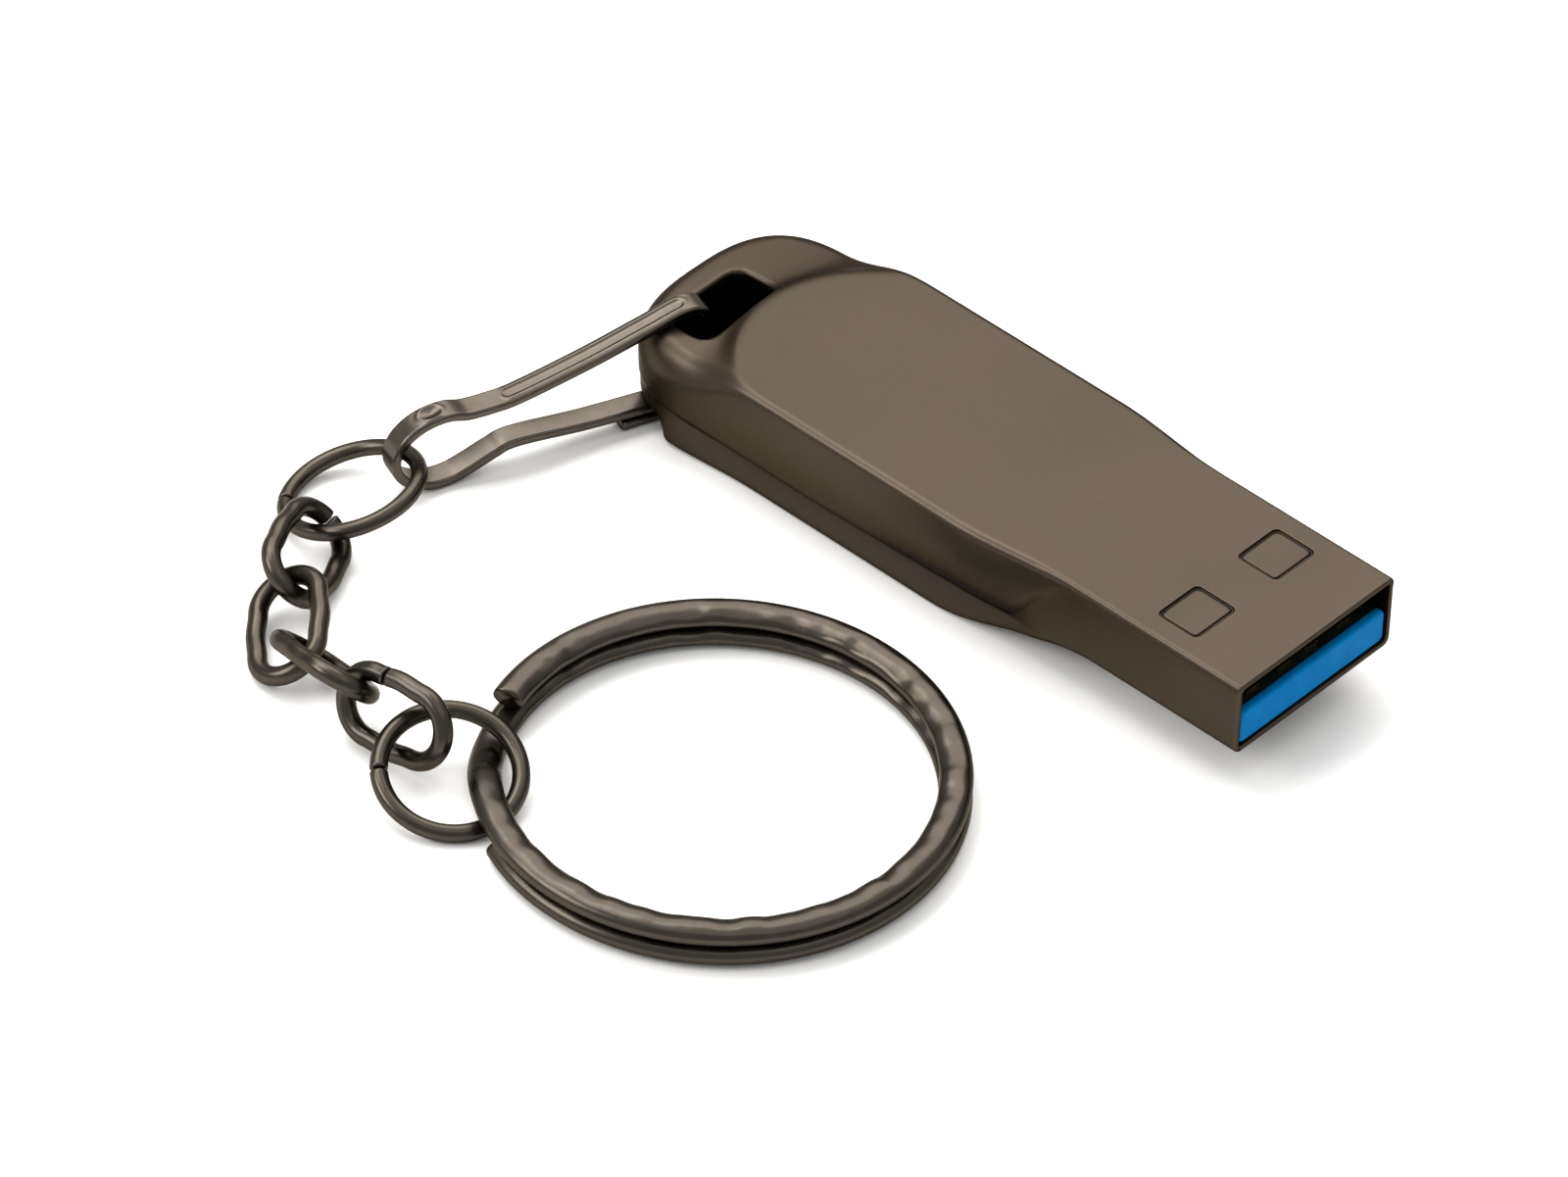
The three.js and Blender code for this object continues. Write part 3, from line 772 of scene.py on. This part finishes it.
def insert_material():
    """Blue moulded plastic, faintly uneven."""
    s = Shader("insert_moulded")
    colour = s.ramp(s.noise(1.4, 4, 0.6), [(0.3, (0.0, 0.125, 0.335)), (0.7, (0.0005, 0.15, 0.385))])
    s.feed("Base Color", colour)
    s.feed("Roughness", s.ramp(s.noise(0.3, 4, 0.6), [(0.3, 0.34), (0.7, 0.46)]))
    s.set("Specular IOR Level", 0.05)
    s.set("IOR", 1.25)
    s.bump([(s.noise(0.08, 2, 0.6), 0.0015), (s.noise(0.9, 3, 0.5), 0.003)])
    return s.material


def plain_material(name, dark, light, size_mm, roughness, metallic=0.0, depth_mm=0.003):
    """A small part's finish: two tones over noise, varied gloss and a fine bump."""
    s = Shader(name)
    s.set("Metallic", metallic)
    s.feed("Base Color", s.ramp(s.noise(size_mm, 4, 0.6), [(0.35, dark), (0.65, light)]))
    gloss = [(0.3, roughness * 0.85), (0.7, roughness * 1.15)]
    s.feed("Roughness", s.ramp(s.noise(size_mm * 0.5, 3, 0.6), gloss))
    s.bump([(s.noise(size_mm * 0.3, 3, 0.6), depth_mm)])
    return s.material


def floor_material():
    """Pale studio surface, faintly mottled."""
    s = Shader("floor_pale")
    tones = [(0.3, (0.86, 0.845, 0.81)), (0.7, (0.88, 0.865, 0.83))]
    s.feed("Base Color", s.ramp(s.noise(60, 3, 0.5), tones))
    s.feed("Roughness", s.ramp(s.noise(20, 3, 0.5), [(0.3, 0.55), (0.7, 0.65)]))
    s.bump([(s.noise(0.4, 3, 0.5), 0.004)])
    return s.material


# ---- pieces that keep their CAD shape ----

FINISHES = {
    # The solder mask is near black: a painted shade for the dark inside of the mouth, where the board
    # shows above the tray.
    "board_green": ("solder_mask_painted_shade", (0.001, 0.006, 0.004), (0.002, 0.009, 0.006), 0.8, 0.5),
    "contact_gold": ("gold_plate", (0.62, 0.40, 0.13), (0.75, 0.52, 0.19), 0.6, 0.24, 1.0),
    "package_black": ("epoxy", (0.012, 0.012, 0.013), (0.02, 0.02, 0.021), 0.15, 0.55),
    "tin_can": ("tinned_can", (0.46, 0.46, 0.44), (0.6, 0.6, 0.57), 0.5, 0.28, 1.0),
    "ceramic_tan": ("ceramic", (0.34, 0.2, 0.1), (0.46, 0.3, 0.16), 0.2, 0.5),
    "foam_black": ("foam", (0.02, 0.02, 0.02), (0.05, 0.05, 0.05), 0.2, 0.9, 0.0, 0.02),
}


def dress_nodes():
    """New materials and softened edges for the small parts inside the plug."""
    finishes = {slot: plain_material(*finish) for slot, finish in FINISHES.items()}
    slots = {part["node"]: part["material_slot"] for part in frame["record"]["subparts"]}
    for node, piece in frame["nodes"].items():
        if slots[node] not in finishes:
            continue
        piece.data.materials.clear()
        piece.data.materials.append(finishes[slots[node]])
        low, high = node_box(node)
        bevel = piece.modifiers.new("edge", "BEVEL")
        bevel.width = min(0.08, 0.3 * min(high - low)) * MM
        bevel.segments = 2
        bevel.limit_method = "ANGLE"
        bevel.angle_limit = math.radians(40)


# ---- studio ----

CAMERA = {"azimuth": 41.26, "elevation": 41.62, "roll": 2.21, "distance": 572.5, "lens": 260.5}
CAMERA_TARGET = (8.55, -16.41, 7.0)
LIGHT_TARGET = (5, -14, 2)


def direction(azimuth, elevation):
    """From the object towards a viewer at that azimuth and elevation."""
    a, e = math.radians(azimuth), math.radians(elevation)
    return Vector((math.sin(a) * math.cos(e), -math.cos(a) * math.cos(e), math.sin(e)))


def add_camera():
    """The camera at the photograph's viewing angle, as solved from the plug's corners."""
    back = direction(CAMERA["azimuth"], CAMERA["elevation"])
    right = Vector((0, 0, 1)).cross(back).normalized()
    up = back.cross(right)
    roll = math.radians(CAMERA["roll"])
    side = right * math.cos(roll) + up * math.sin(roll)
    top = up * math.cos(roll) - right * math.sin(roll)
    data = bpy.data.cameras.new("camera")
    data.lens = CAMERA["lens"]
    data.sensor_width = 36
    data.clip_start = 0.01
    data.clip_end = 20
    camera = bpy.data.objects.new("camera", data)
    turn = Matrix((side, top, back)).transposed().to_4x4()
    place = (Vector(CAMERA_TARGET) + back * CAMERA["distance"]) * MM
    camera.matrix_world = Matrix.Translation(place) @ turn
    bpy.context.scene.collection.objects.link(camera)
    bpy.context.scene.camera = camera


def add_softbox(name, azimuth, elevation, distance, width, height, power, colour=(1, 1, 1)):
    data = bpy.data.lights.new(name, "AREA")
    data.shape = "RECTANGLE"
    data.size = width
    data.size_y = height
    data.energy = power
    data.color = colour
    light = bpy.data.objects.new(name, data)
    towards = direction(azimuth, elevation)
    target = Vector(LIGHT_TARGET) * MM
    light.location = target + towards * distance
    light.rotation_euler = towards.to_track_quat("Z", "Y").to_euler()
    bpy.context.scene.collection.objects.link(light)


def add_studio():
    """The floor, a pale world and four softboxes."""
    bpy.ops.mesh.primitive_plane_add(size=6, location=(0, 0, 0))
    floor = bpy.context.object
    floor.name = "floor"
    floor.data.materials.append(floor_material())
    world = bpy.data.worlds.new("studio")
    world.use_nodes = True
    world.node_tree.nodes["Background"].inputs["Color"].default_value = (0.95, 0.97, 1.0, 1)
    world.node_tree.nodes["Background"].inputs["Strength"].default_value = 0.75
    bpy.context.scene.world = world
    add_softbox("back_softbox", 221, 50, 0.6, 0.55, 0.45, 3.0, (1.0, 0.985, 0.96))
    add_softbox("left_softbox", 279, 60, 0.7, 0.4, 0.4, 2.6)
    add_softbox("overhead_softbox", 120, 80, 0.8, 0.9, 0.9, 2.4)
    add_softbox("side_softbox", -37, 36, 0.7, 0.4, 0.28, 2.8)
    bpy.context.scene.view_settings.view_transform = "Standard"


# ---- the whole object ----

rng = np.random.default_rng(7)
casing = casing_material()
chain = chain_material("chain_polished", 0.054, 0.02)
clip = chain_material("clip_polished", 0.078, 0.004)
build_housing(casing)
build_insert(insert_material())
build_clasp(clip)
wire_loop("jump_ring_clasp", CLASP_RING, LAY["jump_ring_clasp"], chain, rng)
for number in range(1, 5):
    link = f"chain_link_{number}"
    wire_loop(link, LINK, LAY[link], chain, rng)
wire_loop("jump_ring_key", KEY_RING, LAY["jump_ring_key"], chain, rng)
build_split_ring(chain, rng)
dress_nodes()
add_studio()
add_camera()
